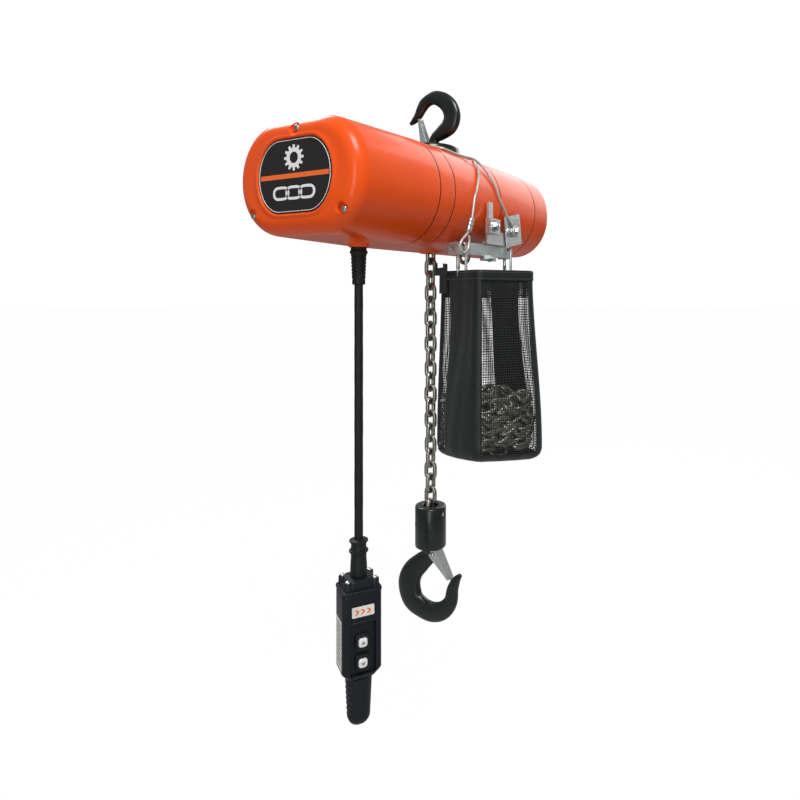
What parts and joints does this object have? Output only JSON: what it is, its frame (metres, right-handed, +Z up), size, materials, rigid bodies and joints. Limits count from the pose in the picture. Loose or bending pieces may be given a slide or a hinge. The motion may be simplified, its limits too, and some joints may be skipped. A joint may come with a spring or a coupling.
{
  "type": "electric chain hoist",
  "caption": "Hook-hung electric chain hoist with oval cast housing, load chain and hook block, pendant control on a cable, and a mesh chain bag.",
  "frame": {"origin": "the point of the top hook's bowl that rests on the beam or eye the hoist hangs from, on the load line", "axes": "+Z up along the load line, +X along the housing from the control cover to the motor cover, so the chain bag and the pendant's buttons are on the -Y side"},
  "size_m": [0.5, 0.2684, 0.822],
  "materials": {
    "orange_enamel": "glossy powder coat over cast aluminium",
    "black_enamel": "satin black enamel",
    "forged_black": "black forged steel, satin",
    "zinc": "zinc-plated steel",
    "steel": "machined steel",
    "chain_steel": "hardened nickel-plated chain, oiled",
    "copper": "varnished copper winding",
    "black_plastic": "moulded black plastic, fine grain",
    "grey_plastic": "moulded grey plastic",
    "black_rubber": "matte black rubber",
    "white_plastic": "glossy white button cap",
    "black_nylon": "black nylon webbing and mesh"
  },
  "bodies": {
    "hoist_frame": {"control_cover": "orange_enamel", "nameplate": "black_enamel", "cover_screw_top": "zinc", "cover_screw_left": "zinc", "cover_screw_right": "zinc", "back_frame": "orange_enamel", "gear_housing": "orange_enamel", "motor_housing": "orange_enamel", "motor_cover": "orange_enamel", "suspension_collar": "black_enamel", "motor_stator": "copper", "motor_bearing_front": "steel", "motor_bearing_rear": "steel", "chain_guide": "steel", "chain_stripper": "steel", "panel_plate": "zinc", "contactor": "grey_plastic", "transformer": "copper", "limit_guide": "steel", "brake_coil": "copper", "cable_inlet": "black_rubber", "bracket_bar": "zinc", "bracket_post": "zinc", "clamp_bolt": "zinc", "tag_plate": "zinc", "rope_bolt": "zinc", "safety_rope": "steel", "rope_ferrule": "zinc"},
    "suspension_hook": {"suspension_hook": "forged_black", "suspension_hook_nut": "steel"},
    "suspension_latch": {"suspension_latch": "zinc"},
    "lift_wheel": {"lift_wheel": "steel", "output_gear": "steel", "chain_on_wheel": "chain_steel"},
    "intermediate_gear": {"intermediate_gear": "steel"},
    "motor_rotor": {"motor_rotor": "steel", "brake_disc": "steel"},
    "brake_armature": {"brake_armature": "steel"},
    "limit_screw": {"limit_screw": "steel"},
    "limit_nut_upper": {"limit_nut_upper": "grey_plastic"},
    "limit_nut_lower": {"limit_nut_lower": "grey_plastic"},
    "load_block": {"load_chain": "chain_steel", "hook_block": "forged_black", "chain_pin": "steel"},
    "load_hook": {"load_hook": "forged_black", "load_hook_nut": "steel"},
    "load_latch": {"load_latch": "zinc"},
    "slack_chain": {"slack_chain": "chain_steel"},
    "cable_boot": {"cable_boot": "black_rubber"},
    "pendant": {"pendant_cable": "black_rubber", "pendant_gland": "black_rubber", "pendant_cap": "black_plastic", "pendant_body": "black_plastic", "pendant_grip": "black_plastic"},
    "button_up": {"button_up": "white_plastic"},
    "button_down": {"button_down": "white_plastic"},
    "chain_bag": {"chain_bag": "black_nylon", "stored_chain": "chain_steel", "bag_hook_left": "zinc", "bag_hook_right": "zinc"}
  },
  "joints": [
    {"name": "suspension_swivel", "type": "hinge", "parent": "hoist_frame", "child": "suspension_hook", "pos_m": [0, 0, -0.07], "axis": [0, 0, 1], "continuous": true},
    {"name": "suspension_latch_hinge", "type": "hinge", "parent": "suspension_hook", "child": "suspension_latch", "pos_m": [0, 0.00711, -0.05925], "axis": [1, 0, 0], "range_deg": [0, 32], "stiffness_Nm_per_rad": 0.05, "springref_deg": -17.19},
    {"name": "hoist_lift", "type": "slide", "parent": "hoist_frame", "child": "load_block", "axis": [0, 0, 1], "range_m": [-0.055, 0.045], "deforming": ["chain_on_wheel"]},
    {"name": "lift_wheel_spin", "type": "hinge", "parent": "hoist_frame", "child": "lift_wheel", "pos_m": [0, -0.02908, -0.147], "axis": [1, 0, 0], "range_deg": [-120, 120]},
    {"name": "intermediate_gear_spin", "type": "hinge", "parent": "hoist_frame", "child": "intermediate_gear", "pos_m": [-0.11, 0.00715, -0.11866], "axis": [1, 0, 0], "range_deg": [-400, 400]},
    {"name": "motor_spin", "type": "hinge", "parent": "hoist_frame", "child": "motor_rotor", "pos_m": [0.1, 0.022, -0.147], "axis": [1, 0, 0], "range_deg": [-1200, 1200]},
    {"name": "brake_release", "type": "slide", "parent": "hoist_frame", "child": "brake_armature", "axis": [-1, 0, 0], "range_m": [0, 0.001], "stiffness_N_per_m": 20000, "springref_m": -0.001},
    {"name": "limit_screw_spin", "type": "hinge", "parent": "hoist_frame", "child": "limit_screw", "pos_m": [-0.17, -0.02908, -0.171], "axis": [1, 0, 0], "range_deg": [-120, 120]},
    {"name": "upper_limit_travel", "type": "slide", "parent": "hoist_frame", "child": "limit_nut_upper", "axis": [1, 0, 0], "range_m": [-0.0005, 0.0005]},
    {"name": "lower_limit_travel", "type": "slide", "parent": "hoist_frame", "child": "limit_nut_lower", "axis": [1, 0, 0], "range_m": [-0.0005, 0.0005]},
    {"name": "slack_chain_run", "type": "slide", "parent": "hoist_frame", "child": "slack_chain", "axis": [0, 0, 1], "range_m": [-0.055, 0.06]},
    {"name": "load_swivel", "type": "hinge", "parent": "load_block", "child": "load_hook", "pos_m": [0, 0, -0.66], "axis": [0, 0, 1], "continuous": true},
    {"name": "load_latch_hinge", "type": "hinge", "parent": "load_hook", "child": "load_latch", "pos_m": [0, -0.009, -0.6645], "axis": [1, 0, 0], "range_deg": [0, 32], "stiffness_Nm_per_rad": 0.05, "springref_deg": -17.19},
    {"name": "cable_sway", "type": "hinge", "parent": "hoist_frame", "child": "cable_boot", "pos_m": [-0.188, -0.021, -0.223], "axis": [1, 0, 0], "range_deg": [-14, 14]},
    {"name": "pendant_swing", "type": "hinge", "parent": "cable_boot", "child": "pendant", "pos_m": [-0.188, -0.021, -0.268], "axis": [0, 1, 0], "range_deg": [-7, 20]},
    {"name": "up_button_press", "type": "slide", "parent": "pendant", "child": "button_up", "axis": [0.5592, 0.829, 0], "range_m": [0, 0.003], "stiffness_N_per_m": 400, "springref_m": -0.002},
    {"name": "down_button_press", "type": "slide", "parent": "pendant", "child": "button_down", "axis": [0.5592, 0.829, 0], "range_m": [0, 0.003], "stiffness_N_per_m": 400, "springref_m": -0.002},
    {"name": "bag_swing", "type": "hinge", "parent": "hoist_frame", "child": "chain_bag", "pos_m": [0, -0.088, -0.211], "axis": [1, 0, 0], "range_deg": [-3, 3]}
  ],
  "couplings": [
    {"joint": "lift_wheel_spin", "follows": "hoist_lift", "rad_per_m": 33.244},
    {"joint": "intermediate_gear_spin", "follows": "hoist_lift", "rad_per_m": -119.68},
    {"joint": "motor_spin", "follows": "hoist_lift", "rad_per_m": 359.04},
    {"joint": "limit_screw_spin", "follows": "hoist_lift", "rad_per_m": -33.244},
    {"joint": "upper_limit_travel", "follows": "hoist_lift", "ratio": 0.006614},
    {"joint": "lower_limit_travel", "follows": "hoist_lift", "ratio": 0.006614},
    {"joint": "slack_chain_run", "follows": "hoist_lift", "ratio": -1}
  ]
}
